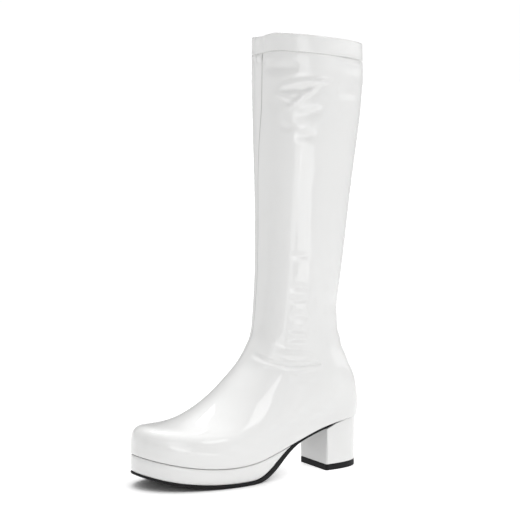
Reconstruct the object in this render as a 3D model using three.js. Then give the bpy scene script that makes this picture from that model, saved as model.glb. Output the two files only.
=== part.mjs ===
// A knee-high go-go boot for the left foot: shaft and foot in one hollow upper, wrapped platform,
// thin outsole that runs up the shank, block heel, top lift and insole.
// Millimetres. +X is the outer side of the foot, -Y the toe, +Z up, and the floor is at z = 0.
import * as THREE from "three";

// Sizes of the last, the foot form that the boot is made on.
const last = {
  length: 246.2, // heel back to toe tip, along the floor
  ballWidth: 87,
  waistWidth: 62,
  heelWidth: 53.6,
  archHollow: 6, // how much further in the inner waist runs than the outer one
  toeSwing: 6.8, // how far the toe tip lies to the inner side of the heel's middle line
  toeSpring: 13, // how far the toe tip stands above the ball
  instep: 100, // top of the instep above the feather line straight below it
};

// Sizes of the shaft.
const shaft = {
  wall: 1.8,
  height: 443.5, // collar above the floor, beside the shin
  collarDrop: 13.5, // how much lower the collar is at the back
  collarDip: 5, // how far the collar dips at the front seam
  dipOuter: 15, // how wide that dip is towards the outer side
  dipInner: 70, // and towards the inner side
  collarWidth: 106.6,
  shin: 106.7, // shin line, from the heel back
  ankle: 23.5, // hollow over the heel, from the heel back
};

// Sizes of the bottom.
const outsole = {
  toe: 2, // thickness at the toe, under the ball, where it bends up and under the shank
  forefoot: 3.6,
  bend: 5.4,
  shank: 3.2,
  flap: 14.5, // how far it runs in over the heel, thinning out
  flapEnd: 0.6,
  seatRun: 14, // how far ahead of the heel it starts to lie against the upper all over
  inset: 0.2, // its edge inside the platform's edge
  edge: 0.5, // the small slope along its lower edge
};
const platform = {
  thickness: 15.5,
  proud: 1.8, // how far it stands out from the feather line
  puff: 1.44, // how far its rounded edges draw back in
  endThickness: 0.5, // where it has thinned out to nothing under the arch
};
const heel = {
  height: 53.4, // floor to feather line, at the back
  depth: 46.6,
  inset: 0.3,
  taper: 1.1,
  corner: 1.8,
  recessRun: 7, // slope at the end of the hollow that takes the end of the outsole
  recessEnd: 1,
};
const topLift = { thickness: 6, edge: 0.5 };
const insole = { thickness: 2.4 };
const gap = 0.3; // clearance between pieces that are glued together

const mix = (a, b, t) => a + (b - a) * t;

// Even blend from 0 to 1 as t runs from a to b, with no kink at either end.
function blend(t, a, b) {
  const q = Math.min(1, Math.max(0, (t - a) / (b - a)));
  return q * q * q * (q * (6 * q - 15) + 10);
}

// Natural cubic spline through the values ys at the places xs.
function spline(xs, ys) {
  const n = xs.length;
  const curve = new Array(n).fill(0);
  const work = new Array(n).fill(0);
  for (let i = 1; i < n - 1; i++) {
    const span = xs[i + 1] - xs[i - 1];
    const share = (xs[i] - xs[i - 1]) / span;
    const divisor = share * curve[i - 1] + 2;
    const turn = (ys[i + 1] - ys[i]) / (xs[i + 1] - xs[i]) - (ys[i] - ys[i - 1]) / (xs[i] - xs[i - 1]);
    curve[i] = (share - 1) / divisor;
    work[i] = ((6 * turn) / span - share * work[i - 1]) / divisor;
  }
  curve[n - 1] = 0;
  for (let i = n - 2; i >= 0; i--) curve[i] = curve[i] * curve[i + 1] + work[i];
  return (x) => {
    let i = 0;
    while (i < n - 2 && x > xs[i + 1]) i++;
    const step = xs[i + 1] - xs[i];
    const a = (xs[i + 1] - x) / step;
    const b = 1 - a;
    const sag = ((a ** 3 - a) * curve[i] + (b ** 3 - b) * curve[i + 1]) * (step * step) / 6;
    return a * ys[i] + b * ys[i + 1] + sag;
  };
}

// The feather line, where the upper meets the bottom, seen from the side.
// in = share of the length from the heel back, rise = share of the way from ball up to heel seat.
const seatColumns = { in: 0, rise: 1 };
const seat = [
  [-0.05, 1.03],
  [0, 1],
  [0.061, 0.96],
  [0.131, 0.895],
  [0.192, 0.815],
  [0.252, 0.7],
  [0.323, 0.525],
  [0.394, 0.33],
  [0.465, 0.165],
  [0.535, 0.06],
  [0.606, 0.012],
  [0.667, 0],
  [0.747, 0],
];
const seatEnd = 0.7; // from here forward the feather line is level but for the toe spring
const springFrom = 0.657; // share of the length where the toe spring begins
const ballUp = outsole.forefoot + platform.thickness + 2 * gap;
const seatCurve = spline(
  seat.map((row) => row[seatColumns.in]),
  seat.map((row) => row[seatColumns.rise]),
);

function toeLift(s) {
  const q = Math.max(0, (s / last.length - springFrom) / (1 - springFrom));
  return last.toeSpring * q * q;
}

function featherUp(s) {
  const share = s / last.length;
  const rise = share < seatEnd ? seatCurve(share) : 0;
  return ballUp + (heel.height - ballUp) * rise + toeLift(s);
}

// The outsole, seen from the side. It lies flat under the ball and climbs behind it to the shank.
// These are shares of the length from the heel back, named for what happens there.
const climb = {
  thinToe: 0.68,
  from: 0.574,
  thick: 0.475,
  edgeIn: 0.46,
  thinning: 0.405,
  flush: 0.34,
  to: 0.298,
};
const flapAt = heel.depth - outsole.flap;

function soleThickness(s) {
  const share = s / last.length;
  const front = mix(outsole.forefoot, outsole.toe, blend(share, climb.thinToe, 1));
  const bend = mix(front, outsole.bend, blend(share, climb.from, climb.thick));
  return mix(bend, outsole.shank, blend(share, climb.thinning, climb.to));
}

function soleUnder(s) {
  const shank = mix(outsole.shank, outsole.flapEnd, blend(s, heel.depth, flapAt));
  return mix(toeLift(s), featherUp(s) - gap - shank, blend(s / last.length, climb.from, climb.to));
}

function soleTop(s) {
  const slope = soleUnder(s + 0.5) - soleUnder(s - 0.5);
  const top = soleUnder(s) + soleThickness(s) * Math.hypot(1, slope);
  const limit = featherUp(s) - gap;
  return s < heel.depth + outsole.seatRun ? limit : Math.min(top, limit);
}

const platformTop = (s) => featherUp(s) - gap;
const platformUnder = (s) => soleTop(s) + gap;

// The platform runs back to where it has thinned out.
function platformBack() {
  let s = climb.from * last.length;
  while (platformTop(s) - platformUnder(s) > platform.endThickness) s -= 0.1;
  return s + 0.1;
}

// Sections of the foot, each cut by a plane that fans out from the heel back.
// backIn, frontIn = places of its two ends, as shares of the length from the heel back.
// backUp, frontUp = heights of its two ends above the feather line, as shares of the instep.
// follow = how far the section still follows the feather line between them.
// heel, waist, ball = half widths, as shares of those of the last.
// arch, swing = how much is left of the inner hollow and of the toe's swing.
// heelRun, toeRun = shares of the section that its round ends take; heelFull, toeFull = their fullness.
// rows = mesh rows until the next section.
const footColumns = [
  "backIn", "frontIn", "backUp", "frontUp", "follow", "heel", "waist", "ball",
  "arch", "swing", "heelRun", "toeRun", "heelFull", "toeFull", "rows",
];
const foot = {
  feather: [0, 1, 0, 0, 1, 1, 1, 1, 1, 1, 0.17, 0.34, 2.4, 2.2, 1],
  wallFoot: [-0.001, 1.001, 0.012, 0.045, 1, 1.012, 1.03, 1.018, 0.94, 1, 0.17, 0.34, 2.4, 2.2, 1],
  wallLow: [-0.002, 1, 0.026, 0.1, 0.97, 1.024, 1.06, 1.03, 0.85, 0.98, 0.172, 0.34, 2.4, 2.2, 2],
  wallHigh: [-0.003, 0.997, 0.042, 0.17, 0.9, 1.035, 1.1, 1.03, 0.72, 0.95, 0.175, 0.345, 2.4, 2.18, 2],
  toeEdge: [-0.004, 0.988, 0.06, 0.24, 0.8, 1.045, 1.13, 1.01, 0.6, 0.9, 0.18, 0.36, 2.38, 2.15, 2],
  toeShoulder: [-0.005, 0.965, 0.076, 0.288, 0.68, 1.05, 1.155, 0.99, 0.5, 0.84, 0.185, 0.38, 2.36, 2.12, 2],
  toeTop: [-0.006, 0.924, 0.092, 0.317, 0.56, 1.055, 1.175, 0.965, 0.4, 0.76, 0.192, 0.4, 2.34, 2.12, 2],
  vampLow: [-0.006, 0.857, 0.112, 0.36, 0.4, 1.06, 1.19, 0.945, 0.3, 0.62, 0.2, 0.42, 2.3, 2.15, 2],
  vampMid: [-0.006, 0.775, 0.135, 0.448, 0.26, 1.065, 1.2, 0.925, 0.2, 0.46, 0.212, 0.45, 2.27, 2.15, 2],
  vampHigh: [-0.005, 0.69, 0.165, 0.583, 0.14, 1.07, 1.205, 0.895, 0.12, 0.3, 0.235, 0.47, 2.22, 2.1, 3],
  instepLow: [-0.003, 0.603, 0.21, 0.758, 0.06, 1.075, 1.195, 0.865, 0.06, 0.18, 0.27, 0.49, 2.16, 2.05, 3],
  instep: [0.001, 0.53, 0.28, 0.925, 0.02, 1.085, 1.17, 0.838, 0, 0.08, 0.31, 0.5, 2.1, 2, 3],
  bend: [0.013, 0.484, 0.4, 1.08, 0, 1.1, 1.145, 0.812, 0, 0, 0.37, 0.5, 2.05, 2, 3],
};

// Sections of the shaft.
// backUp, frontUp = heights of its two ends, as shares of the shaft's height at the shin.
// calf = share of the hollow over the heel; shin = share of the shin line.
// half = half width, as a share of the collar's; heel = how full its back is; run = back's share.
// level = how much of the collar's drop and dip it has.
const shaftColumns = ["backUp", "frontUp", "calf", "shin", "half", "heel", "run", "level", "rows"];
const leg = {
  ankleLow: [0.265, 0.333, 0.66, 1.06, 0.655, 0.93, 0.43, 0, 3],
  ankle: [0.346, 0.397, 1.09, 1.03, 0.655, 0.97, 0.48, 0, 3],
  calfLow: [0.435, 0.459, 0.923, 1.01, 0.69, 1, 0.5, 0, 3],
  calf: [0.553, 0.558, 0.635, 1, 0.745, 1, 0.5, 0, 3],
  calfHigh: [0.672, 0.672, 0.369, 1, 0.82, 1, 0.5, 0.1, 3],
  calfTop: [0.79, 0.79, 0.093, 1.003, 0.925, 1, 0.5, 0.4, 2],
  hemLow: [0.879, 0.879, -0.073, 1.003, 0.98, 1, 0.5, 0.8, 2],
  hem: [0.959, 0.959, -0.117, 1, 0.995, 1, 0.5, 1, 1],
  collar: [1, 1, -0.084, 0.997, 0.99, 1, 0.5, 1, 0],
};

const named = (columns, row) => Object.fromEntries(columns.map((name, i) => [name, row[i]]));

function footSection(row) {
  const c = named(footColumns, row);
  const back = c.backIn * last.length;
  const front = c.frontIn * last.length;
  return {
    back,
    front,
    backZ: featherUp(back) + c.backUp * last.instep,
    frontZ: featherUp(front) + c.frontUp * last.instep,
    follow: c.follow,
    dip: 0,
    heel: (c.heel * last.heelWidth) / 2,
    waist: (c.waist * last.waistWidth) / 2,
    ball: (c.ball * last.ballWidth) / 2,
    arch: c.arch * last.archHollow,
    swing: c.swing * last.toeSwing,
    heelRun: c.heelRun,
    toeRun: c.toeRun,
    heelFull: c.heelFull,
    toeFull: c.toeFull,
    rows: c.rows,
  };
}

function legSection(row) {
  const c = named(shaftColumns, row);
  const half = (c.half * shaft.collarWidth) / 2;
  return {
    back: c.calf * shaft.ankle,
    front: c.shin * shaft.shin,
    backZ: c.backUp * shaft.height - c.level * shaft.collarDrop,
    frontZ: c.frontUp * shaft.height,
    follow: 0,
    dip: c.level ** 4 * shaft.collarDip,
    heel: c.heel * half,
    waist: half,
    ball: half,
    arch: 0,
    swing: 0,
    heelRun: c.run,
    toeRun: 0.5,
    heelFull: 2,
    toeFull: 2,
    rows: c.rows,
  };
}

const sections = [...Object.values(foot).map(footSection), ...Object.values(leg).map(legSection)];
const sectionRow = sections.map((_, i) => sections.slice(0, i).reduce((sum, c) => sum + c.rows, 0));
const sectionKeys = Object.keys(sections[0]).filter((key) => key !== "rows");
const sectionCurves = Object.fromEntries(
  sectionKeys.map((key) => [key, spline(sectionRow, sections.map((c) => c[key]))]),
);
const sectionAt = (row) => Object.fromEntries(sectionKeys.map((key) => [key, sectionCurves[key](row)]));

// How a section's half widths run into each other, as shares of the way from its back to its front.
const flow = { heelEnd: 0.1, waist: 0.4, ballFrom: 0.36, archAt: 0.42, archSpan: 0.13, swingFrom: 0.62 };
const swingBend = 2.2; // how late along the toe the swing comes
const innerToe = 0.03; // how much shorter the toe's round end is on the inner side

// Half outline of a section seen from above. side is +1 for the outer half, -1 for the inner one,
// and t runs from 0 at the back end to 1 at the front end.
function outline(c, side, t) {
  const toeRun = c.toeRun - (side < 0 ? (innerToe * c.swing) / last.toeSwing : 0);
  const rear = mix(c.heel, c.waist, blend(t, flow.heelEnd, flow.waist));
  const half = rear + (c.ball - c.waist) * blend(t, flow.ballFrom, 1 - toeRun);
  const hollow = side < 0 ? c.arch * Math.exp(-(((t - flow.archAt) / flow.archSpan) ** 2)) : 0;
  const heelEnd = 1 - Math.max(0, 1 - t / c.heelRun) ** c.heelFull;
  const toeEnd = 1 - Math.max(0, 1 - (1 - t) / toeRun) ** c.toeFull;
  const round = heelEnd ** (1 / c.heelFull) * toeEnd ** (1 / c.toeFull);
  const swing = c.swing * Math.max(0, (t - flow.swingFrom) / (1 - flow.swingFrom)) ** swingBend;
  return { x: side * (half - hollow) * round - swing, s: mix(c.back, c.front, t) };
}

// Point of a section in the boot's own frame. The front half of the collar has the dip.
function sectionPoint(c, side, t) {
  const { x, s } = outline(c, side, t);
  const level = mix(featherUp(c.back), featherUp(c.front), t);
  const width = side > 0 ? shaft.dipOuter : shaft.dipInner;
  const dip = c.dip * blend(t, 0.5, 0.75) * Math.exp(-((x / width) ** 2));
  const z = mix(c.backZ, c.frontZ, t) + c.follow * (featherUp(s) - level) - dip;
  return new THREE.Vector3(x, -s, z);
}

// One closed solid from its points and triangles, turned so that its faces point out.
function solid(name, points, triangles, material) {
  let volume = 0;
  const cross = new THREE.Vector3();
  for (const [a, b, c] of triangles) volume += points[a].dot(cross.crossVectors(points[b], points[c]));
  const order = volume > 0 ? triangles : triangles.map(([a, b, c]) => [a, c, b]);
  const geometry = new THREE.BufferGeometry();
  geometry.setAttribute(
    "position",
    new THREE.Float32BufferAttribute(points.flatMap((p) => p.toArray()), 3),
  );
  geometry.setIndex(order.flat());
  geometry.computeVertexNormals();
  const mesh = new THREE.Mesh(geometry, material);
  mesh.name = name;
  return mesh;
}

// Triangles of the band between two closed rings that start at the indices a and b.
function band(a, b, count) {
  const faces = [];
  for (let j = 0; j < count; j++) {
    const k = (j + 1) % count;
    faces.push([a + j, a + k, b + k], [a + j, b + k, b + j]);
  }
  return faces;
}

// The upper: outer and inner grids of rings, closed at the collar and at the feather line.
const around = 52;

function upperRing(row) {
  const c = sectionAt(row);
  const ring = [];
  for (let j = 0; j < around; j++) {
    const angle = (2 * Math.PI * j) / around;
    ring.push(sectionPoint(c, j <= around / 2 ? 1 : -1, (1 - Math.cos(angle)) / 2));
  }
  return ring;
}

// Ring moved in by the wall's thickness, square to the surface that the rings make.
function innerRing(rings, i) {
  return rings[i].map((point, j) => {
    const next = rings[i][(j + 1) % around];
    const before = rings[i][(j + around - 1) % around];
    const above = rings[Math.min(i + 1, rings.length - 1)][j];
    const below = rings[Math.max(i - 1, 0)][j];
    const run = new THREE.Vector3().subVectors(next, before);
    const rise = i === 0 ? new THREE.Vector3(0, 0, 1) : new THREE.Vector3().subVectors(above, below);
    const inward = run.cross(rise).normalize().multiplyScalar(-shaft.wall);
    return point.clone().add(inward);
  });
}

function makeUpper(material) {
  const count = sectionRow[sectionRow.length - 1];
  const rings = [];
  for (let i = 0; i <= count; i++) rings.push(upperRing(i));
  const legRow = sectionRow[Object.keys(foot).length];
  const inner = rings
    .map((_, i) => innerRing(rings, i))
    .filter((_, i) => i <= legRow || (count - i) % 2 === 0);
  const lowest = inner[0];
  const highest = inner[inner.length - 1];
  highest.forEach((point, j) => (point.z = rings[count][j].z));
  lowest.forEach((point) => (point.z = featherUp(-point.y)));
  const loops = [...rings, ...inner.reverse()];
  const faces = loops.flatMap((_, i) => band(i * around, ((i + 1) % loops.length) * around, around));
  return solid("upper", loops.flat(), faces, material);
}

// Stations along the bottom, closer together towards both tips. All pieces share them, so that
// faces that lie on each other have their edges at the same places.
const bottomSteps = 56;
const closest = 0.004; // a station this near a piece's end is left out

function stations(from, to) {
  const list = [];
  const [low, high] = [Math.min(from, to), Math.max(from, to)];
  for (let i = 0; i <= bottomSteps; i++) {
    const share = (1 - Math.cos((Math.PI * i) / bottomSteps)) / 2;
    const afterLow = share > low + closest || (low === 0 && share > 0);
    const beforeHigh = share < high - closest || (high === 1 && share < 1);
    if (afterLow && beforeHigh) list.push(share);
  }
  const all = [low, ...list.sort((p, q) => p - q), high];
  return from < to ? all : all.reverse();
}

const featherSection = sections[0];

// Closed plan outline between two places, as shares of the length, from one end along the outer
// side to the other end and back along the inner side. A piece that starts at a tip of the last has
// one point there, and one that starts further in has a straight end.
function plan(from, to) {
  const shares = stations(from, to);
  const outer = shares.map((t) => outline(featherSection, 1, t));
  const inner = shares.map((t) => outline(featherSection, -1, t));
  const startTip = from === 0 || from === 1;
  return { outer, inner: inner.slice(startTip ? 1 : 0, -1), startTip };
}

// Plan outline as one ring, moved out by a distance that may change along the length.
function ring(shape, out) {
  const loop = [...shape.outer, ...shape.inner.slice().reverse()];
  const turn = loop.reduce((sum, p, i) => {
    const q = loop[(i + 1) % loop.length];
    return sum + p.x * q.s - q.x * p.s;
  }, 0);
  const sign = Math.sign(turn);
  return loop.map((p, i) => {
    const next = loop[(i + 1) % loop.length];
    const before = loop[(i + loop.length - 1) % loop.length];
    const atEnd = !shape.startTip && (i === 0 || i === loop.length - 1);
    const dx = atEnd ? 0 : next.x - before.x;
    const ds = atEnd ? (i === 0 ? next.s - p.s : p.s - before.s) : next.s - before.s;
    const size = Math.hypot(dx, ds) || 1;
    const move = out(p.s);
    return { x: p.x + (sign * move * ds) / size, s: p.s - (sign * move * dx) / size };
  });
}

// A piece of the bottom: rings stacked from its underside to its top, with a strip cap on each.
// Each layer has its share of the height and how far its ring moves out.
function slab(name, shape, layers, under, top, material) {
  const points = [];
  for (const layer of layers) {
    for (const p of ring(shape, layer.out)) {
      points.push(new THREE.Vector3(p.x, -p.s, mix(under(p.s), top(p.s), layer.up)));
    }
  }
  const count = points.length / layers.length;
  const faces = layers.slice(1).flatMap((_, i) => band(i * count, (i + 1) * count, count));
  const half = shape.outer.length - 1;
  for (const base of [0, (layers.length - 1) * count]) {
    const cap = [];
    for (let i = 0; i < half; i++) {
      const partner = (k) => (shape.startTip ? (count - k) % count : count - 1 - k);
      const [a, b, c, d] = [i, i + 1, partner(i + 1), partner(i)].map((k) => base + k);
      if (b !== c) cap.push([a, b, c]);
      if (a !== d) cap.push([a, c, d]);
    }
    faces.push(...(base ? cap : cap.map(([a, b, c]) => [a, c, b])));
  }
  return solid(name, points, faces, material);
}

// Adds a rounded corner to the open end of a plan outline.
function roundedEnd(shape, at, radius) {
  const half = [shape.outer[0].x, -shape.inner[0].x];
  const arc = [0, 0.5].map((q) => (q * Math.PI) / 2);
  const towards = Math.sign(shape.outer[1].s - at);
  const corner = (side, width) =>
    arc.map((a) => ({
      x: side * (width - radius * (1 - Math.sin(a))),
      s: at + towards * radius * (1 - Math.cos(a)),
    }));
  const clear = (p) => Math.abs(p.s - at) > radius * 0.99;
  const straight = (side, width) => ({ x: side * width, s: at + towards * radius });
  return {
    outer: [...corner(1, half[0]), straight(1, half[0]), ...shape.outer.filter(clear)],
    inner: [...corner(-1, half[1]), straight(-1, half[1]), ...shape.inner.filter(clear)],
    startTip: false,
  };
}

const patent = { color: 0xf2f2f0, roughness: 0.12, metalness: 0 };
const rubber = { color: 0x141414, roughness: 0.65, metalness: 0 };
const lining = { color: 0xd9d4ca, roughness: 0.85, metalness: 0 };
const material = (look) => new THREE.MeshStandardMaterial(look);
const even = (distance) => () => distance;

// The wrapped platform stands proud of the upper and is a little puffed.
const puffColumns = { up: 0, drawnIn: 1 };
const puff = [
  [0, 1],
  [0.12, 0.35],
  [0.35, 0],
  [0.65, 0],
  [0.88, 0.35],
  [1, 1],
];

function makePlatform() {
  const layers = puff.map((row) => ({
    up: row[puffColumns.up],
    out: even(platform.proud - platform.puff * row[puffColumns.drawnIn]),
  }));
  const shape = plan(platformBack() / last.length, 1);
  return slab("platform", shape, layers, platformUnder, platformTop, material(patent));
}

// The outsole is flush with the platform and narrows to the feather line under the shank.
function makeOutsole() {
  const proud = platform.proud - outsole.inset;
  const out = (s) => mix(proud, -heel.inset, blend(s / last.length, climb.edgeIn, climb.flush));
  const layers = [
    { up: 0, out: (s) => out(s) - outsole.edge },
    { up: 0.25, out },
    { up: 1, out },
  ];
  return slab("outsole", plan(flapAt / last.length, 1), layers, soleUnder, soleTop, material(rubber));
}

// The heel's top is hollowed for the end of the outsole and meets the feather line behind it.
function heelTop(s) {
  const flap = mix(outsole.flapEnd, outsole.shank, blend(s, flapAt, heel.depth));
  const end = flapAt - heel.recessEnd;
  return featherUp(s) - gap - (flap + gap) * blend(s, end - heel.recessRun, end);
}

const heelPlan = () => roundedEnd(plan(heel.depth / last.length, 0), heel.depth, heel.corner);

function makeHeel() {
  const under = topLift.thickness + gap;
  const layers = [0, 0.5, 1].map((up) => ({ up, out: even(-heel.inset - heel.taper * (1 - up)) }));
  return slab("heel", heelPlan(), layers, even(under), heelTop, material(patent));
}

function makeTopLift() {
  const side = -heel.inset - heel.taper;
  const layers = [
    { up: 0, out: even(side - topLift.edge) },
    { up: topLift.edge / topLift.thickness, out: even(side) },
    { up: 1, out: even(side) },
  ];
  return slab("top_lift", heelPlan(), layers, even(0), even(topLift.thickness), material(rubber));
}

function makeInsole() {
  const layers = [0, 1].map((up) => ({ up, out: even(-shaft.wall - gap) }));
  const top = (s) => featherUp(s) + insole.thickness;
  return slab("insole", plan(0, 1), layers, featherUp, top, material(lining));
}

const boot = new THREE.Group();
boot.add(makeUpper(material(patent)));
boot.add(makePlatform());
boot.add(makeOutsole());
boot.add(makeHeel());
boot.add(makeTopLift());
boot.add(makeInsole());

// The origin is under the middle of the boot, on the floor.
const box = new THREE.Box3().setFromObject(boot);
const middle = box.getCenter(new THREE.Vector3());
boot.position.set(-middle.x, -middle.y, -box.min.z);

export default boot;
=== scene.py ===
"""Go go boot: knee-high boot in white patent, with a wrapped platform, thin sole and wrapped block heel.

Laid out as an add-on: sizes and finishes are property groups, and each piece has an operator.
Metres. +X is the outer side of the foot, -Y the toe, +Z up, and the boot stands on the floor at z = 0.
"""

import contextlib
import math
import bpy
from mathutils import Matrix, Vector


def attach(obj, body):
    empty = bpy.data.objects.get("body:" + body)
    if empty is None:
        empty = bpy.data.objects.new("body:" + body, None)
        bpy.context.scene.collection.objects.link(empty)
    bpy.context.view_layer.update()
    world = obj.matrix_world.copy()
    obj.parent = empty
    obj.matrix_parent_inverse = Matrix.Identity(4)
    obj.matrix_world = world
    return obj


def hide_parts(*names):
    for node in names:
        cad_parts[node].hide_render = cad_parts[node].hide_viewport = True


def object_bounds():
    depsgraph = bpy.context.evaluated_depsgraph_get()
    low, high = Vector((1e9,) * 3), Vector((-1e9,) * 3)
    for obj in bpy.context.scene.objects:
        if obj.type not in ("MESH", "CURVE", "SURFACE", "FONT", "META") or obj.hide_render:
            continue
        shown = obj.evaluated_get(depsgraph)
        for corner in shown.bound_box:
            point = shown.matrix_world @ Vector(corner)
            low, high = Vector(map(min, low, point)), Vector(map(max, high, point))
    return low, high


bl_info = {
    "name": "Go Go Boot",
    "version": (1, 0, 0),
    "blender": (4, 5, 0),
    "location": "View3D > Sidebar > Boot",
    "description": "Builds a knee-high patent boot with platform and block heel around its solid model",
    "category": "Add Mesh",
}

import bmesh
import bpy
import numpy as np
from bpy.props import FloatProperty, FloatVectorProperty, PointerProperty
from mathutils import Matrix, Quaternion, Vector

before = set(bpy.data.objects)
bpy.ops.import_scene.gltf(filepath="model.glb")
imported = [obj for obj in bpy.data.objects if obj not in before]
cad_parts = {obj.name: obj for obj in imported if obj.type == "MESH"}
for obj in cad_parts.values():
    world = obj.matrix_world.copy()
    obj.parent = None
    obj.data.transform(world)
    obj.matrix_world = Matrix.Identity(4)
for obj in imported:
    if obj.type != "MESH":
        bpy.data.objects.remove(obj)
MODEL_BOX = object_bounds()
MM = 0.001
SMOOTH_BELOW = math.radians(40)  # edges flatter than this are shaded smooth
CUT_EDGE = math.radians(50)  # edges of the upper sharper than this are cut edges, and are rounded
SLAB_EDGE = math.radians(35)  # the same for platform, heel and soles


def length(name, description, default):
    """A size in metres that a user may change."""
    return FloatProperty(name=name, description=description, default=default, unit="LENGTH", precision=5)


def angle(name, description, degrees):
    """An angle that a user may change."""
    return FloatProperty(name=name, description=description, default=math.radians(degrees), unit="ROTATION")


def share(name, description, default):
    """A number from 0 to 1 that a user may change."""
    return FloatProperty(name=name, description=description, default=default, min=0, max=1)


def colour(name, description, default):
    """A colour that a user may change."""
    return FloatVectorProperty(
        name=name, description=description, default=default, subtype="COLOR", size=3, min=0, max=1
    )


class SeamSizes(bpy.types.PropertyGroup):
    """Seams, hem and edges of the upper."""

    hem: length("Hem", "Collar edge down to the row of stitches", 18 * MM)
    seam_half: length("Seam half width", "From the middle of a seam to its edge", 0.9 * MM)
    seam_depth: length("Seam depth", "How deep the seam is drawn in", 0.8 * MM)
    edge: length("Edge", "Rounding of the upper's cut edges", 0.8 * MM)
    front_end: length("Front seam end", "Height above the floor where the front seam ends", 114 * MM)
    back_end: length("Back seam end", "Height above the floor where the back seam ends", 60 * MM)
    stitch_pitch: length("Stitch pitch", "From stitch to stitch along the hem", 3 * MM)
    stitch_length: length("Stitch length", "Length of one stitch", 1.7 * MM)
    stitch_radius: length("Stitch radius", "Half the thickness of the thread", 0.42 * MM)


class BottomSizes(bpy.types.PropertyGroup):
    """Edges of the platform, heel and soles."""

    wrap_edge: length("Wrap edge", "Rounding where the patent turns over an edge", 0.7 * MM)
    rubber_edge: length("Rubber edge", "Rounding of the outsole and the top lift", 0.25 * MM)
    sock_edge: length("Sock edge", "Rounding of the insole's sock", 0.8 * MM)
    lining_thickness: length("Lining", "Thickness of the lining", 0.5 * MM)
    lining_clearance: length("Lining clearance", "Between the upper's inside and the lining", 0.5 * MM)


class Finishes(bpy.types.PropertyGroup):
    """Colours and gloss."""

    patent: colour("Patent", "Colour of the patent", (0.64, 0.64, 0.635))
    # Painted shade: the colour that the seams' grooves are darkened towards.
    seam: colour("Seam", "Colour down in the seams", (0.2, 0.2, 0.19))
    rubber: colour("Rubber", "Colour of the soles", (0.006, 0.006, 0.0065))
    lining: colour("Lining", "Colour of the lining and the sock", (0.62, 0.59, 0.54))
    thread: colour("Thread", "Colour of the stitching", (0.8, 0.8, 0.79))
    patent_roughness: share("Patent roughness", "Roughness under the lacquer", 0.3)
    lacquer_roughness: share("Lacquer roughness", "Roughness of the lacquer", 0.015)


class StageSizes(bpy.types.PropertyGroup):
    """The camera."""

    camera_turn: angle("Turn", "Camera round the boot, from the toe to the outer side", 60)
    camera_away: length("Away", "Camera from the boot, along the floor", 1.79)
    camera_up: length("Up", "Camera above the floor", 0.4044)
    camera_middle: length("Middle", "Place along Y that the camera circles", 0.0137)
    camera_tilt: angle("Tilt", "Camera tilt below level", 5.98)
    camera_roll: angle("Roll", "Camera roll", -0.35)
    lens: FloatProperty(
        name="Lens", description="Lens on a 36 mm sensor", default=124.6, min=1, subtype="DISTANCE_CAMERA"
    )


# Small helpers for modelling by operators.


def only(obj):
    """Selects one object alone and makes it active."""
    bpy.ops.object.select_all(action="DESELECT")
    obj.select_set(True)
    bpy.context.view_layer.objects.active = obj


@contextlib.contextmanager
def editing(obj, kind="VERT"):
    """Edit mode on one object, with nothing selected in it at first."""
    only(obj)
    bpy.ops.object.mode_set(mode="EDIT")
    bpy.ops.mesh.select_mode(type=kind)
    bpy.ops.mesh.select_all(action="DESELECT")
    yield
    bpy.ops.object.mode_set(mode="OBJECT")


def pick(obj, corners):
    """Selects these corners and nothing else."""
    bpy.ops.mesh.select_all(action="DESELECT")
    mesh = bmesh.from_edit_mesh(obj.data)
    for vert in mesh.verts:
        if vert in corners:
            vert.select_set(True)
    mesh.select_flush_mode()
    bmesh.update_edit_mesh(obj.data)


def select_between(obj, mesh, pairs):
    """Selects the edges that join given pairs of corners."""
    for edge in mesh.edges:
        if frozenset(edge.verts) in pairs:
            edge.select_set(True)
    bmesh.update_edit_mesh(obj.data)


def rungs(rings):
    """The pairs of corners that lie one above the other in neighbouring rings."""
    return {frozenset(pair) for above, below in zip(rings, rings[1:]) for pair in zip(above, below)}


def round_pairs(ring):
    """The pairs of neighbouring corners round a ring."""
    return {frozenset((ring[i], ring[i - 1])) for i in range(len(ring))}


def finish_modifier(obj, kind, **settings):
    """Adds a modifier with its settings and applies it."""
    only(obj)
    modifier = obj.modifiers.new(kind.title(), kind)
    for name, value in settings.items():
        setattr(modifier, name, value)
    bpy.ops.object.modifier_apply(modifier=modifier.name)


def subdivide_smoothly(obj, levels):
    """Adds and applies a subdivision surface."""
    finish_modifier(obj, "SUBSURF", levels=levels, render_levels=levels, use_limit_surface=False)


def copy_node(node, name):
    """Copy of a node of the model as a new piece, its loose triangles merged."""
    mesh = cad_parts[node].data.copy()
    mesh.name = name
    mesh.materials.clear()
    obj = bpy.data.objects.new(name, mesh)
    bpy.context.collection.objects.link(obj)
    with editing(obj):
        bpy.ops.mesh.select_all(action="SELECT")
        bpy.ops.mesh.remove_doubles(threshold=0.01 * MM)
    return obj


def hand_over(obj, slot, *nodes):
    """Lets a finished piece ride on the boot, and stand for the nodes of the model that it replaces."""
    only(obj)
    bpy.ops.object.shade_smooth_by_angle(angle=SMOOTH_BELOW)
    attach(obj, "root")
    if nodes:
        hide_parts(*nodes)


# The upper is a closed grid: rings round the boot, and columns that run down the outside, under the
# feather edge and up the inside again.


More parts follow.
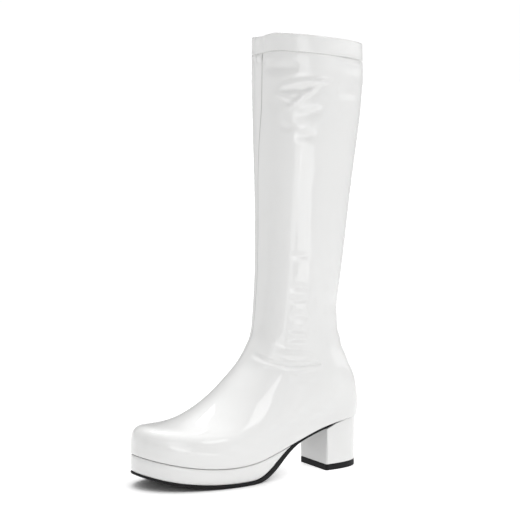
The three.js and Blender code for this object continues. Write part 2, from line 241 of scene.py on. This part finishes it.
def dissolve_diagonals(obj):
    """Turns the grid's triangles back into quads. Each triangle has one edge of each sort, in turn."""
    with editing(obj, "EDGE"):
        mesh = bmesh.from_edit_mesh(obj.data)
        top = max(v.co.z for v in mesh.verts)
        start = next(
            e for e in mesh.edges
            if min(v.co.z for v in e.verts) > top - 8 * MM and len({face_up(f) for f in e.link_faces}) == 2
        )
        sort = {start: 0}
        queue = [f for f in start.link_faces]
        seen = set(queue)
        while queue:
            face = queue.pop()
            edges = [loop.edge for loop in face.loops]
            known = next(i for i, e in enumerate(edges) if e in sort)
            for i in range(3):
                sort.setdefault(edges[(known + i) % 3], (sort[edges[known]] + i) % 3)
            for edge in edges:
                for other in edge.link_faces:
                    if other not in seen:
                        seen.add(other)
                        queue.append(other)
        for edge, kind in sort.items():
            edge.select_set(kind == 2)
        bmesh.update_edit_mesh(obj.data)
        bpy.ops.mesh.dissolve_edges(use_verts=False)


def face_up(face):
    """Whether a face looks up, as the flat edge of the collar does."""
    return face.normal.z > 0.7


def straight_on(edge, vert):
    """The edge that carries on from an edge through one of its ends, in a grid of quads."""
    faces = set(edge.link_faces)
    return next(e for e in vert.link_edges if e is not edge and not faces & set(e.link_faces))


def walk(edge, vert):
    """The corners met when an edge is followed straight on through vert until it closes."""
    start = edge.other_vert(vert)
    found = [start]
    while vert is not start:
        found.append(vert)
        edge = straight_on(edge, vert)
        vert = edge.other_vert(vert)
    return found


def grid_rings(mesh, seam=0.0):
    """The grid's rings, from the collar's outer edge down the outside and up the inside.

    Each ring starts at the front, where the column's top is seam metres from the middle, and goes to
    the outer side first.
    """
    collar = max(v.co.z for v in mesh.verts) - 20 * MM
    top = [v for v in mesh.verts if v.co.z > collar and any(face_up(f) for f in v.link_faces)]
    front = min(top, key=lambda v: v.co.y + 4 * abs(v.co.x - seam))
    down = min(front.link_edges, key=lambda e: e.other_vert(front).co.z)
    column = walk(down, down.other_vert(front))
    rings = []
    for vert in column:
        beside = max(vert.link_edges, key=lambda e: e.other_vert(vert).co.x - vert.co.x)
        rings.append(walk(beside, beside.other_vert(vert)))
    return rings


def outside_count(rings):
    """How many of the rings lie on the outside, from the collar down to the feather edge."""
    heights = [ring[0].co.z for ring in rings]
    lowest = min(heights)
    return next(i for i, z in enumerate(heights) if z < lowest + 0.5 * MM) + 1


# How far the front seam lies to the outer side of the middle, by height above the floor.
SEAM_PATH = (
    (0.11, -5 * MM),
    (0.2, -4.5 * MM),
    (0.3, -4 * MM),
    (0.342, 0.5 * MM),
    (0.376, 6 * MM),
    (0.45, 6 * MM),
)
SEAM_TOP = SEAM_PATH[-1][1]


# Rows of the shaft are split into more rings: how many, between which heights.
CREASED_ROWS = ((5, 0.33, 0.41), (3, 0.12, 0.23))
ROW_LIMIT = 12 * MM  # rows lower than this stay as they are
INNER_KEPT = 4  # rings at the top and the bottom of the inside that all stay


def lay_seam(rings):
    """Slides the front of each ring round the shaft, so that the front column follows the seam."""
    heights, offsets = zip(*SEAM_PATH)
    for ring in rings:
        z = ring[0].co.z
        if z < heights[0]:
            continue
        offset = float(np.interp(z, heights, offsets))
        places = [v.co.copy() for v in ring]
        depth = max(p.y for p in places) - min(p.y for p in places)
        for i, place in enumerate(places):
            towards = places[(i + (1 if offset > 0 else -1)) % len(places)] - place
            front = 1 - (place.y - places[0].y) / depth
            ring[i].co = place + towards * min(1, abs(offset) / towards.length) * front


LEG_RADIUS = 0.05  # girth of the leg, laid flat, is measured on this radius
LEG_MIDDLE = 0.06  # the leg's axis, along Y
FOLD_LIP = 0.3  # height of a fold's lip, as a share of its depth
FOLD_LIP_AT = 1.9  # where the lip is, in widths of the fold
FOLD_SPREAD = 5  # how much wider the folds are on the inside


class Fold:
    """A soft trough or ridge on the shaft or the ankle, from one place to another.

    turn is the angle round the leg from the front, the outer side positive; up is the height above
    the floor. depth is how far it goes in, or out if it is negative; bow lifts its middle.
    """

    def __init__(self, turn, up, turn_to, up_to, width, depth, bow=0):
        self.start = np.array([math.radians(turn) * LEG_RADIUS, up * MM])
        self.end = np.array([math.radians(turn_to) * LEG_RADIUS, up_to * MM])
        self.width = width * MM
        self.depth = depth * MM
        self.bow = bow * MM

    def shift(self, places, spread=1):
        """How far out each place moves, with the fold spread so many times wider.

        places are laid flat: along the leg's girth, and up.
        """
        line = self.end - self.start
        size = np.hypot(*line)
        line = line / size
        along = (places - self.start) @ line / size
        inside = np.clip(along, 0, 1)
        across = (places - self.start) @ np.array([-line[1], line[0]])
        across -= self.bow * 4 * inside * (1 - inside)
        q = np.abs(across) / (self.width * spread)
        profile = np.exp(-q * q) - FOLD_LIP * np.exp(-((q - FOLD_LIP_AT) ** 2))
        fade = np.clip(1 - np.abs(2 * along - 1) ** 4, 0, 1)
        return -self.depth * profile * fade


FOLDS = (
    # Under the hem on the outer side, where the shaft sags.
    Fold(11, 408, 60, 409, 4.6, 1.3, -1),
    Fold(36, 391, 98, 394, 2.6, -1.1, 2),
    Fold(34, 385, 76, 387, 2.6, 1.2, 0.5),
    Fold(44, 367, 88, 396, 2.6, -1.2),
    Fold(28, 384, 60, 373, 2.3, -0.9),
    Fold(53, 360, 88, 367, 5, 0.9),
    Fold(34, 352, 50, 347, 3.4, 0.6),
    Fold(54, 341, 80, 342, 4, 0.6),
    Fold(16, 373, 40, 370, 5, 0.5, 1),
    Fold(102, 384, 132, 381, 5, 0.6, 1),
    Fold(105, 358, 134, 359, 6, 0.5),
    Fold(98, 417, 142, 413, 2.2, 0.8, 1),
    # The gathers beside the front seam.
    Fold(-26, 418, -10, 418.5, 2.2, -0.9),
    Fold(-7, 417, 8, 418, 2.2, -1, 0.5),
    Fold(12, 416.5, 30, 419, 2, -0.6),
    Fold(-12, 421, -5, 411, 2, 0.6),
    Fold(6, 421, 13, 412, 2, 0.5),
    Fold(8, 441, 8, 426, 2.6, 0.7),
    # Small ripples down the outer side of the leg.
    Fold(46, 223, 72, 223, 3, 0.25),
    Fold(44, 191, 74, 190, 3, 0.35, 1),
    Fold(44, 179, 73, 180, 2.6, 0.3, -1),
    Fold(43, 163, 72, 162, 3, 0.35, 1),
    Fold(43, 149, 71, 149, 2.8, 0.4, -1),
    Fold(42, 138.5, 70, 138, 2.6, 0.4, 1),
    Fold(42, 130, 70, 130.5, 2.6, 0.4, -1),
    # Where the ankle bends.
    Fold(8, 125, 46, 112, 1.9, 1.2, -1),
    Fold(38, 112.5, 96, 114, 1.8, 1.5, -1.5),
    Fold(20, 128, 84, 120, 3.4, -0.5, -2),
    Fold(48, 103, 84, 105, 4, 0.6, -1),
    Fold(-20, 122, -80, 112, 3, 1.4, -2),
    Fold(-40, 132, -90, 138, 4, 0.7, 1),
    Fold(150, 128, 205, 126, 5, 0.8, -2),
    # The inner side, which hangs in a few softer folds.
    Fold(-30, 392, -84, 386, 5, 1.1, 2),
    Fold(-60, 362, -112, 374, 6, 0.9, 1),
    Fold(-120, 404, -168, 398, 5, 0.8, -1),
)


def lay_flat(points):
    """Places round the leg and up, for points in space."""
    turn = np.arctan2(points[:, 0], LEG_MIDDLE - points[:, 1])
    return np.stack([turn * LEG_RADIUS, points[:, 2]], 1)


def mesh_points(obj):
    """All corners of a mesh as an array."""
    points = np.empty(len(obj.data.vertices) * 3)
    obj.data.vertices.foreach_get("co", points)
    return points.reshape(-1, 3)


def group_weights(obj, name):
    """Each corner's weight in a vertex group."""
    group = obj.vertex_groups[name].index
    return np.array([next((g.weight for g in v.groups if g.group == group), 0) for v in obj.data.vertices])


def keep_weights(obj, group, name):
    """Keeps a vertex group's weights as an attribute, for the painted shade in the material."""
    layer = obj.data.attributes.new(name, "FLOAT", "POINT")
    layer.data.foreach_set("value", group_weights(obj, group) - HEM_PALER * group_weights(obj, "hem"))


# Painted shade: the hem's row is darkened less than the other seams, by this share.
HEM_PALER = 0.05  # how much paler the hem's row is than the other seams


def crease(obj, inside):
    """Moves the skin in and out along the folds.

    What looks into the boot gives way more widely, because its rings lie further apart.
    """
    points = mesh_points(obj)
    normals = np.array([v.normal for v in obj.data.vertices])
    flat = lay_flat(points)
    skin = sum(fold.shift(flat) for fold in FOLDS)
    hollow = np.min([fold.shift(flat, FOLD_SPREAD) for fold in FOLDS], axis=0)
    shift = np.where(inside, -np.minimum(hollow, 0), skin)
    obj.data.vertices.foreach_set("co", (points + normals * shift[:, None]).ravel())
    obj.data.update()


def looks_inside(obj):
    """Which corners belong to the faces in the inside's material slot."""
    inside = np.zeros(len(obj.data.vertices), bool)
    for polygon in obj.data.polygons:
        if polygon.material_index == 1:
            inside[list(polygon.vertices)] = True
    return inside


class BOOT_OT_upper(bpy.types.Operator):
    """The upper: shaft and foot in one skin, with seams, hem and creases."""

    bl_idname = "boot.upper"
    bl_label = "Upper"

    def execute(self, context):
        sizes = context.scene.boot_seams
        obj = copy_node("upper", "boot_upper")
        dissolve_diagonals(obj)
        self.lay_out(obj)
        self.split_rows(obj, sizes)
        self.sew(obj, sizes)
        with editing(obj, "EDGE"):
            bpy.ops.mesh.edges_select_sharp(sharpness=CUT_EDGE)
            bpy.ops.mesh.bevel(offset=sizes.edge, segments=2, affect="EDGES")
        subdivide_smoothly(obj, 2)
        crease(obj, looks_inside(obj))
        keep_weights(obj, "seams", "seam_line")
        hand_over(obj, "white_patent", "upper")
        return {"FINISHED"}

    @staticmethod
    def lay_out(obj):
        """Slides the front seam to its place. The inside gets its own material slot and fewer rings."""
        for _ in range(2):
            obj.data.materials.append(patent_material())
        with editing(obj, "EDGE"):
            mesh = bmesh.from_edit_mesh(obj.data)
            rings = grid_rings(mesh)
            lay_seam(rings)
            inner = rings[outside_count(rings):]
            within = {v for ring in inner for v in ring}
            for face in mesh.faces:
                face.material_index = 1 if all(v in within for v in face.verts) else 0
            spare = inner[INNER_KEPT:-INNER_KEPT:2]
            select_between(obj, mesh, set().union(*map(round_pairs, spare)))
            bpy.ops.mesh.dissolve_edges(use_verts=True)

    @staticmethod
    def split_rows(obj, sizes):
        """Adds rings where the shaft's rows are far apart, most where it creases, and in the hem."""
        for cuts, low, high in (*CREASED_ROWS, (1, sizes.front_end, 1)):
            with editing(obj, "EDGE"):
                mesh = bmesh.from_edit_mesh(obj.data)
                rings = grid_rings(mesh, SEAM_TOP)
                rings = rings[: outside_count(rings)]
                pairs = set()
                for row in zip(rings, rings[1:]):
                    top, base = (ring[0].co.z for ring in row)
                    if top - base > ROW_LIMIT and low < (top + base) / 2 < high:
                        pairs |= rungs(row)
                select_between(obj, mesh, pairs)
                bpy.ops.mesh.subdivide(number_cuts=cuts)
        with editing(obj, "EDGE"):
            mesh = bmesh.from_edit_mesh(obj.data)
            rings = grid_rings(mesh, SEAM_TOP)
            select_between(obj, mesh, rungs(rings[:3]))
            bpy.ops.mesh.subdivide(number_cuts=1)

    @staticmethod
    def sew(obj, sizes):
        """Draws in the front seam, the back seam and the row of stitches round the hem."""
        with editing(obj, "EDGE"):
            mesh = bmesh.from_edit_mesh(obj.data)
            rings = grid_rings(mesh, SEAM_TOP)
            rings = rings[: outside_count(rings)]
            half = len(rings[0]) // 2
            hem = min(rings, key=lambda ring: abs(rings[0][0].co.z - ring[0].co.z - sizes.hem))
            pairs = round_pairs(hem)
            under_hem = rings[rings.index(hem):]
            for above, below in zip(under_hem, under_hem[1:]):
                if below[0].co.z > sizes.front_end:
                    pairs.add(frozenset((above[0], below[0])))
                if below[half].co.z > sizes.back_end:
                    pairs.add(frozenset((above[half], below[half])))
            hem_places = [v.co.copy() for v in hem]
            select_between(obj, mesh, pairs)
            bpy.ops.mesh.bevel(offset=sizes.seam_half, segments=2, affect="EDGES")
            bpy.ops.mesh.select_mode(type="FACE")
            mesh = bmesh.from_edit_mesh(obj.data)
            middle = {v for v in mesh.verts if v.select and all(f.select for f in v.link_faces)}
            bpy.ops.mesh.select_mode(type="VERT")
            pick(obj, middle)
            bpy.ops.transform.shrink_fatten(value=-sizes.seam_depth)
            bpy.ops.transform.edge_crease(value=1)
            obj.vertex_groups.new(name="seams")
            bpy.ops.object.vertex_group_assign()
            mesh = bmesh.from_edit_mesh(obj.data)
            near = 1.2 * sizes.seam_depth  # the hem's row has just been drawn in by its depth
            for vert in mesh.verts:
                if vert.select:
                    vert.select_set(min((vert.co - place).length for place in hem_places) < near)
            bmesh.update_edit_mesh(obj.data)
            obj.vertex_groups.new(name="hem")
            bpy.ops.object.vertex_group_assign()


class BOOT_OT_lining(bpy.types.Operator):
    """The lining, from under the hem's turning down to the insole."""

    bl_idname = "boot.lining"
    bl_label = "Lining"

    def execute(self, context):
        sizes = context.scene.boot_bottom
        obj = copy_node("upper", "lining")
        dissolve_diagonals(obj)
        with editing(obj):
            mesh = bmesh.from_edit_mesh(obj.data)
            rings = grid_rings(mesh)
            inner = rings[outside_count(rings):]
            keep = {v for ring in inner[1:-1] for v in ring}
            for vert in mesh.verts:
                vert.select_set(vert not in keep)
            bmesh.update_edit_mesh(obj.data)
            bpy.ops.mesh.delete(type="VERT")
        subdivide_smoothly(obj, 1)
        crease(obj, True)
        finish_modifier(
            obj,
            "SHRINKWRAP",
            target=bpy.data.objects["boot_upper"],
            wrap_method="NEAREST_SURFACEPOINT",
            wrap_mode="OUTSIDE",
            offset=sizes.lining_clearance,
        )
        finish_modifier(obj, "SOLIDIFY", thickness=sizes.lining_thickness, offset=1, use_rim=True)
        obj.data.materials.append(lining_material())
        hand_over(obj, "lining")
        return {"FINISHED"}


def slab_piece(node, name, edge, levels=2):
    """A piece of the bottom: its flat top and underside keep their edges, and its side is smoothed."""
    obj = copy_node(node, name)
    with editing(obj, "EDGE"):
        bpy.ops.mesh.select_all(action="SELECT")
        bpy.ops.mesh.tris_convert_to_quads(
            face_threshold=math.pi, shape_threshold=math.pi, topology_influence=1.0
        )
        bpy.ops.mesh.select_all(action="DESELECT")
        bpy.ops.mesh.edges_select_sharp(sharpness=SLAB_EDGE)
        bpy.ops.mesh.bevel(offset=edge, segments=3, affect="EDGES")
    finish_modifier(obj, "SUBSURF", levels=levels, render_levels=levels, subdivision_type="CATMULL_CLARK")
    return obj


class BOOT_OT_bottom(bpy.types.Operator):
    """Platform, outsole, heel and top lift."""

    bl_idname = "boot.bottom"
    bl_label = "Bottom"

    def execute(self, context):
        sizes = context.scene.boot_bottom
        for node, edge, material, slot in (
            ("platform", sizes.wrap_edge, wrap_material, "white_patent"),
            ("outsole", sizes.rubber_edge, rubber_material, "black_rubber"),
            ("heel", sizes.wrap_edge, wrap_material, "white_patent"),
            ("top_lift", sizes.rubber_edge, rubber_material, "black_rubber"),
        ):
            obj = slab_piece(node, "boot_" + node, edge)
            obj.data.materials.append(material())
            hand_over(obj, slot, node)
        return {"FINISHED"}


class BOOT_OT_sock(bpy.types.Operator):
    """The sock that covers the insole."""

    bl_idname = "boot.sock"
    bl_label = "Sock"

    def execute(self, context):
        obj = slab_piece("insole", "boot_sock", context.scene.boot_bottom.sock_edge)
        obj.data.materials.append(lining_material())
        hand_over(obj, "lining", "insole")
        return {"FINISHED"}


class BOOT_OT_stitches(bpy.types.Operator):
    """The row of stitches round the hem."""

    bl_idname = "boot.stitches"
    bl_label = "Stitches"

    def execute(self, context):
        sizes = context.scene.boot_seams
        route = self.route(bpy.data.objects["boot_upper"])
        gaps = np.linalg.norm(np.roll(route, -1, 0) - route, axis=1)
        run = np.concatenate([[0], np.cumsum(gaps)])
        count = round(run[-1] / sizes.stitch_pitch)
        closed = np.vstack([route, route[:1]])
        bpy.ops.object.select_all(action="DESELECT")
        bpy.ops.mesh.primitive_uv_sphere_add(segments=8, ring_count=6, radius=sizes.stitch_radius)
        first = context.object
        first.name = first.data.name = "hem_stitches"
        with editing(first):
            bpy.ops.mesh.select_all(action="SELECT")
            stretch = sizes.stitch_length / (2 * sizes.stitch_radius)
            bpy.ops.transform.resize(value=(stretch, 1, 1))
        stitch = mesh_points(first)
        faces = [list(p.vertices) for p in first.data.polygons]
        points, polygons = [], []
        for i in range(count):
            at = [np.interp(run[-1] * i / count, run, closed[:, k]) for k in range(3)]
            ahead = [np.interp(run[-1] * (i + 0.3) / count, run, closed[:, k]) for k in range(3)]
            along = Vector(ahead) - Vector(at)
            turn = along.to_track_quat("X", "Z").to_matrix()
            polygons += [[k + len(points) for k in face] for face in faces]
            points += [Vector(at) + turn @ Vector(p) for p in stitch]
        first.data.clear_geometry()
        first.data.from_pydata(points, [], polygons)
        first.data.materials.append(thread_material())
        hand_over(first, "white_patent")
        return {"FINISHED"}

    @staticmethod
    def route(upper):
        """Points round the hem, along the row that the upper's vertex group marks."""
        found = mesh_points(upper)[group_weights(upper, "hem") > 0.95]
        return found[np.argsort(lay_flat(found)[:, 0])]


# Materials.


class Value:
    """A socket, on which arithmetic adds Math nodes."""

    def __init__(self, nodes, socket):
        self.nodes = nodes
        self.socket = socket

    def math(self, operation, *values):
        return self.nodes.add("ShaderNodeMath", {"operation": operation}, dict(enumerate(values)))

    def __add__(self, other):
        return self.math("ADD", self, other)

    def __sub__(self, other):
        return self.math("SUBTRACT", self, other)

    def __mul__(self, other):
        return self.math("MULTIPLY", self, other)

    def __truediv__(self, other):
        return self.math("DIVIDE", self, other)

    def __rsub__(self, other):
        return self.math("SUBTRACT", other, self)

    __radd__ = __add__
    __rmul__ = __mul__

    def clamp(self):
        """Kept between 0 and 1."""
        return self.math("MINIMUM", self.math("MAXIMUM", self, 0.0), 1.0)


class Nodes:
    """A node tree, with one method that adds any node."""

    def __init__(self, tree):
        self.tree = tree

    def add(self, kind, settings=None, inputs=None, output=0):
        """Adds a node with its settings, then the values or links of its sockets, and gives one output."""
        node = self.tree.nodes.new(kind)
        for name, value in (settings or {}).items():
            if name == "stops":
                for _ in value[2:]:
                    node.color_ramp.elements.new(0.5)
                for element, (place, tone) in zip(node.color_ramp.elements, value):
                    element.position = place
                    element.color = (tone, tone, tone, 1)
            else:
                setattr(node, name, value)
        for name, value in (inputs or {}).items():
            self.put(node.inputs[name], value)
        return Value(self, node.outputs[output])

    def put(self, socket, value):
        """Links a value to a socket, or sets the socket to a number or colour."""
        if isinstance(value, Value):
            self.tree.links.new(value.socket, socket)
        elif socket.type == "RGBA":
            socket.default_value = (*value, 1)
        else:
            socket.default_value = value


class Shader(Nodes):
    """A material on the Principled shader."""

    def __init__(self, name):
        self.material = bpy.data.materials.new(name)
        self.material.use_nodes = True
        super().__init__(self.material.node_tree)
        self.surface = self.tree.nodes["Principled BSDF"]

    def set(self, **inputs):
        """Sets or links sockets of the Principled shader, their names in small letters and underscores."""
        sockets = {s.name.lower().replace(" ", "_"): s for s in self.surface.inputs}
        for name, value in inputs.items():
            self.put(sockets[name], value)

    def place(self):
        """Object coordinates."""
        return self.add("ShaderNodeTexCoord", output="Object")

    def noise(self, size, detail=2.0, roughness=0.5):
        """Noise whose blobs are about one size across, in metres."""
        inputs = {"Vector": self.place(), "Scale": 1 / size, "Detail": detail, "Roughness": roughness}
        return self.add("ShaderNodeTexNoise", None, inputs)

    def bump(self, height, distance, strength=1.0, normal=None):
        """A normal bent by a height from 0 to 1, of a distance in metres."""
        inputs = {"Height": height, "Distance": distance, "Strength": strength}
        if normal:
            inputs["Normal"] = normal
        return self.add("ShaderNodeBump", None, inputs)

    def mix(self, factor, first, second):
        """A colour between two colours."""
        inputs = {0: factor, 6: first, 7: second}
        return self.add("ShaderNodeMix", {"data_type": "RGBA"}, inputs, output=2)


GRAIN_DEPTH = 0.012 * MM  # depth of the patent's fine grain
SWELL = 3  # depth of the slow unevenness under the lacquer, in ripples


def shade(colour_value, factor):
    """A colour made lighter or darker."""
    return tuple(min(1, c * factor) for c in colour_value)


def made_once(name):
    """The material of that name, if it has been made."""
    return bpy.data.materials.get(name)


def patent_shader(name, ripple):
    """White patent: a clear lacquer over a slightly uneven white skin, with painted shade down in the
    seams.
    """
    looks = bpy.context.scene.boot_finishes
    shader = Shader(name)
    base = tuple(looks.patent)
    cloud = shader.noise(35 * MM, 2.0)
    grain = shader.noise(0.9 * MM, 3.0, 0.6)
    wave = shader.noise(14 * MM, 1.0)
    uneven = shader.bump(shader.noise(26 * MM, 0.0), SWELL * ripple)
    seam = shader.add("ShaderNodeAttribute", {"attribute_name": "seam_line"}, output="Fac")
    skin = shader.mix(cloud, shade(base, 0.985), shade(base, 1.01))
    shader.set(
        # Painted shade: the base colour darkens towards the seam colour down the seams' grooves, where the
        # lacquer also thins.
        base_color=shader.mix((seam * 1.6 - 0.6).clamp(), skin, tuple(looks.seam)),
        roughness=(cloud * 0.08 + (looks.patent_roughness - 0.04)).clamp(),
        specular_ior_level=0.15,
        coat_weight=1.0 - (seam * 1.2).clamp(),
        coat_roughness=looks.lacquer_roughness,
        normal=shader.bump(grain, GRAIN_DEPTH, 0.6, shader.bump(wave, ripple, 1.0, uneven)),
    )
    return shader.material


def patent_material():
    """The upper's patent."""
    return made_once("patent") or patent_shader("patent", 0.09 * MM)


def wrap_material():
    """The patent pulled tight over platform and heel."""
    return made_once("patent_wrap") or patent_shader("patent_wrap", 0.05 * MM)


def rubber_material():
    """Black rubber with a fine grain and lighter rubbed spots."""
    name = "sole_rubber"
    if made_once(name):
        return made_once(name)
    looks = bpy.context.scene.boot_finishes
    shader = Shader(name)
    base = tuple(looks.rubber)
    cloud = shader.noise(6 * MM, 3.0)
    grain = shader.noise(0.5 * MM, 2.0)
    shader.set(
        base_color=shader.mix(cloud, base, shade(base, 2.0)),
        roughness=cloud * 0.2 + 0.5,
        specular_ior_level=0.15,
        normal=shader.bump(grain, 0.05 * MM, 0.6),
    )
    return shader.material


def lining_material():
    """Brushed textile lining with a fine weave."""
    name = "lining_cloth"
    if made_once(name):
        return made_once(name)
    looks = bpy.context.scene.boot_finishes
    shader = Shader(name)
    base = tuple(looks.lining)
    cloud = shader.noise(12 * MM, 3.0)
    nap = shader.noise(0.7 * MM, 4.0, 0.7)
    shader.set(
        base_color=shader.mix(cloud, shade(base, 0.93), shade(base, 1.05)),
        roughness=cloud * 0.1 + 0.82,
        sheen_weight=0.2,
        normal=shader.bump(nap, 0.12 * MM, 0.8),
    )
    return shader.material


def thread_material():
    """Twisted white thread."""
    name = "thread"
    if made_once(name):
        return made_once(name)
    looks = bpy.context.scene.boot_finishes
    shader = Shader(name)
    base = tuple(looks.thread)
    twist = shader.noise(0.3 * MM, 2.0)
    shader.set(
        base_color=shader.mix(twist, shade(base, 0.85), base),
        roughness=twist * 0.2 + 0.5,
        normal=shader.bump(twist, 0.05 * MM, 0.7),
    )
    return shader.material


class BOOT_OT_stage(bpy.types.Operator):
    """Pale floor, soft studio light and the camera."""

    bl_idname = "boot.stage"
    bl_label = "Stage"

    def execute(self, context):
        self.floor()
        self.light_room(context)
        for light in LIGHTS:
            self.panel(*light)
        self.camera(context)
        return {"FINISHED"}

    @staticmethod
    def floor():
        """The floor, white up to the horizon, with a painted pool of light where it glows under the arch.
        """
        bpy.ops.mesh.primitive_plane_add(size=80)
        floor = bpy.context.object
        floor.name = "floor"
        shader = Shader("floor")
        tone = shader.noise(0.6, 1.0)
        away = shader.add("ShaderNodeVectorMath", {"operation": "LENGTH"}, {0: shader.place()}, "Value")
        arch = shader.add(
            "ShaderNodeVectorMath", {"operation": "DISTANCE"}, {0: shader.place(), 1: ARCH_PLACE}, "Value"
        )
        # Painted light: the floor glows round the arch's place and fades out over ARCH_REACH, lightening
        # the shade under the arch.
        painted_arch_glow = (1.0 - arch / ARCH_REACH).clamp() * ARCH_PAINTED_LIGHT
        seen = shader.add("ShaderNodeLightPath", output="Is Camera Ray")
        mirrored = shader.add("ShaderNodeLightPath", output="Is Glossy Ray")
        far = (away - FAR_START).clamp()
        pale = shader.mix(tone, (0.93, 0.93, 0.93), (0.95, 0.95, 0.95))
        shader.set(
            base_color=shader.mix(far * mirrored, pale, (FAR_FLOOR,) * 3),
            roughness=tone * 0.1 + 0.6,
            emission_color=shader.mix((far * seen * FAR_GLOW + painted_arch_glow).clamp(), (0.0,) * 3, (1.0,) * 3),
            emission_strength=1.0,
        )
        floor.data.materials.append(shader.material)

    @staticmethod
    def light_room(context):
        """Light from all round, by height and from one side. The camera sees a plain white room."""
        world = bpy.data.worlds.new("studio")
        context.scene.world = world
        world.use_nodes = True
        room = Nodes(world.node_tree)
        towards = room.add("ShaderNodeTexCoord", output="Generated")
        height = room.add("ShaderNodeSeparateXYZ", None, {0: towards}, output="Z")
        side = room.add(
            "ShaderNodeVectorMath", {"operation": "DOT_PRODUCT"}, {0: towards, 1: SIDE_LIGHT}, "Value"
        )
        tone = room.add("ShaderNodeValToRGB", {"stops": ROOM_TONES}, {0: height})
        side = room.add("ShaderNodeValToRGB", {"stops": SIDE_TONES}, {0: side})
        background = world.node_tree.nodes["Background"]
        room.put(background.inputs["Color"], (1, 1, 1))
        seen = room.add("ShaderNodeLightPath", output="Is Camera Ray")
        room.put(background.inputs["Strength"], (tone + side) * (1.0 - seen) + seen * BACKDROP)
        context.scene.view_settings.view_transform = "Standard"

    @staticmethod
    def panel(name, turn, up, away, wide, tall, roll, power):
        """A rectangular soft light that faces the boot."""
        around = math.radians(turn)
        place = Vector((math.sin(around) * away, -math.cos(around) * away, up))
        aim = place - Vector((0, 0, min(up, MODEL_BOX[1][2] / 2)))
        bpy.ops.object.light_add(type="AREA", location=place)
        light = bpy.context.object
        light.name = light.data.name = name
        light.data.shape = "RECTANGLE"
        light.data.size = wide
        light.data.size_y = tall
        light.data.energy = power
        facing = aim.to_track_quat("Z", "Y") @ Quaternion((0, 0, 1), math.radians(roll))
        light.rotation_euler = facing.to_euler()

    @staticmethod
    def camera(context):
        """The camera, at the photograph's angle."""
        stage = context.scene.boot_stage
        turn = stage.camera_turn
        away = Vector((math.sin(turn), -math.cos(turn), 0)) * stage.camera_away
        place = away + Vector((0, stage.camera_middle, stage.camera_up))
        bpy.ops.object.camera_add(location=place)
        camera = context.object
        camera.matrix_world = (
            Matrix.Translation(place)
            @ Matrix.Rotation(turn, 4, "Z")
            @ Matrix.Rotation(math.pi / 2 - stage.camera_tilt, 4, "X")
            @ Matrix.Rotation(stage.camera_roll, 4, "Z")
        )
        camera.data.lens = stage.lens
        camera.data.sensor_width = 36
        context.scene.camera = camera


# The floor from here on glows a little, so that it looks white, and shows in the lacquer in this tone.
FAR_START = 0.5
FAR_GLOW = 0.3
FAR_FLOOR = 0.62
# Painted light: the floor glows under the arch to lighten the shade there. Its place, how far it reaches
# and its strength.
ARCH_PLACE = (0.01, 0.06, 0)
ARCH_REACH = 0.085
ARCH_PAINTED_LIGHT = 0.85
# How bright the room behind the boot looks.
BACKDROP = 1.02
# Soft lights: turn round the boot, height, distance, width, height of the panel, its roll and its power.
LIGHTS = (
    ("strip", 58, 0.33, 0.95, 0.44, 0.5, 43, 0.98),
    ("low_strip", 75, 0.13, 0.95, 1.0, 0.125, -18, 0.7),
    ("side_strip", 98, 0.65, 0.95, 0.32, 0.28, 0, 0.72),
    ("overhead", -75, 1.7, 0.45, 0.7, 0.45, 0, 7.0),
    ("front_fill", -45, 0.33, 0.95, 1.0, 0.75, 0, 0.85),
    ("inner_strip", 240, 0.5, 0.95, 0.12, 0.7, 8, 0.8),
)
# Brightness of the room from the floor up to overhead: sine of the height angle, and tone.
ROOM_TONES = ((0.0, 0.75), (0.04, 0.75), (0.1, 0.22), (0.6, 0.34), (1.0, 2.3))
# More light from one side: its direction, and tones by how nearly a ray points there.
SIDE_LIGHT = (0.5, 0.83, 0.2)
SIDE_TONES = ((0.5, 0.0), (1.0, 1.1))


class BOOT_PT_panel(bpy.types.Panel):
    """Lists the boot's pieces."""

    bl_idname = "BOOT_PT_panel"
    bl_label = "Go Go Boot"
    bl_space_type = "VIEW_3D"
    bl_region_type = "UI"
    bl_category = "Boot"

    def draw(self, context):
        for piece in PIECES:
            self.layout.operator(piece.bl_idname)
        for group in GROUPS:
            box = self.layout.box()
            settings = getattr(context.scene, group)
            for name in settings.bl_rna.properties.keys():
                if name not in ("rna_type", "name"):
                    box.prop(settings, name)


GROUPS = {
    "boot_seams": SeamSizes,
    "boot_bottom": BottomSizes,
    "boot_finishes": Finishes,
    "boot_stage": StageSizes,
}
PIECES = (
    BOOT_OT_upper,
    BOOT_OT_lining,
    BOOT_OT_bottom,
    BOOT_OT_sock,
    BOOT_OT_stitches,
    BOOT_OT_stage,
)


def register():
    """Adds the classes, and each group of sizes to the scene."""
    for kind in (*GROUPS.values(), *PIECES, BOOT_PT_panel):
        bpy.utils.register_class(kind)
    for name, kind in GROUPS.items():
        setattr(bpy.types.Scene, name, PointerProperty(type=kind))


def unregister():
    """Takes them away again."""
    for name in GROUPS:
        delattr(bpy.types.Scene, name)
    for kind in reversed((*GROUPS.values(), *PIECES, BOOT_PT_panel)):
        bpy.utils.unregister_class(kind)


def main():
    """Builds all pieces in order."""
    register()
    bpy.ops.boot.upper()
    bpy.ops.boot.lining()
    bpy.ops.boot.bottom()
    bpy.ops.boot.sock()
    bpy.ops.boot.stitches()
    bpy.ops.boot.stage()


if __name__ == "__main__":
    main()
